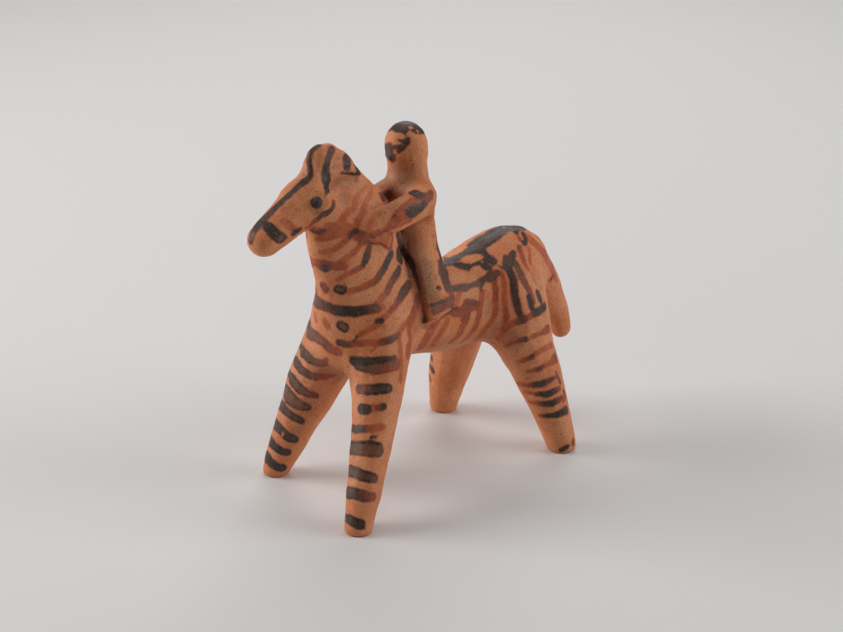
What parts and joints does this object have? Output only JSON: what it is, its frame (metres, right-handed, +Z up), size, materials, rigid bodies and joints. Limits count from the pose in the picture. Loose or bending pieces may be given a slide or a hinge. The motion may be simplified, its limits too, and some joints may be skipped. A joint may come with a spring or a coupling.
{
  "type": "terracotta horse and rider figurine",
  "caption": "Small hand-modelled clay horse on splayed, tapered legs with a simple rider holding its neck, fired as one piece and painted with dark and reddish bands.",
  "frame": {"origin": "the ground under the middle of the figure's bounding box", "axes": "-Y towards the horse's muzzle, +X towards the horse's left side, +Z up"},
  "size_m": [0.0546, 0.1246, 0.1048],
  "materials": {
    "terracotta": null
  },
  "bodies": {
    "root": {"horse_and_rider": "terracotta"}
  },
  "joints": []
}
